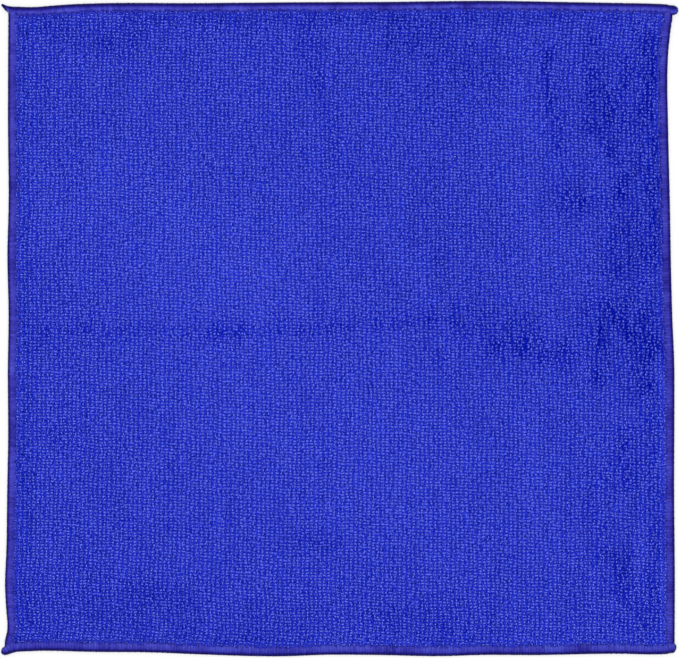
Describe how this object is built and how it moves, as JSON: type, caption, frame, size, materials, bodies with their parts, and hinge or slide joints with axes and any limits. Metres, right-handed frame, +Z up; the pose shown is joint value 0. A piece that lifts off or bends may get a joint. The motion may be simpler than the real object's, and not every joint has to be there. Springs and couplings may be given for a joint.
{
  "type": "microfibre cloth",
  "caption": "Square terry-knit microfibre cleaning cloth, lying flat and face up, with a raised overlocked edging sewn along each side and short thread ends at the corners.",
  "frame": {"origin": "on the resting surface, under the middle of the cloth's overall box", "axes": "+X to the cloth's right and +Y towards its top edge as seen from above, +Z up out of the looped face"},
  "size_m": [0.3058, 0.2964, 0.0026],
  "materials": {
    "terry": "royal blue looped microfibre pile",
    "edging_thread": "violet blue overlock thread, soft sheen"
  },
  "bodies": {
    "root": {"terry_panel": "terry", "overlock_top": "edging_thread", "overlock_bottom": "edging_thread", "overlock_left": "edging_thread", "overlock_right": "edging_thread"}
  },
  "joints": []
}
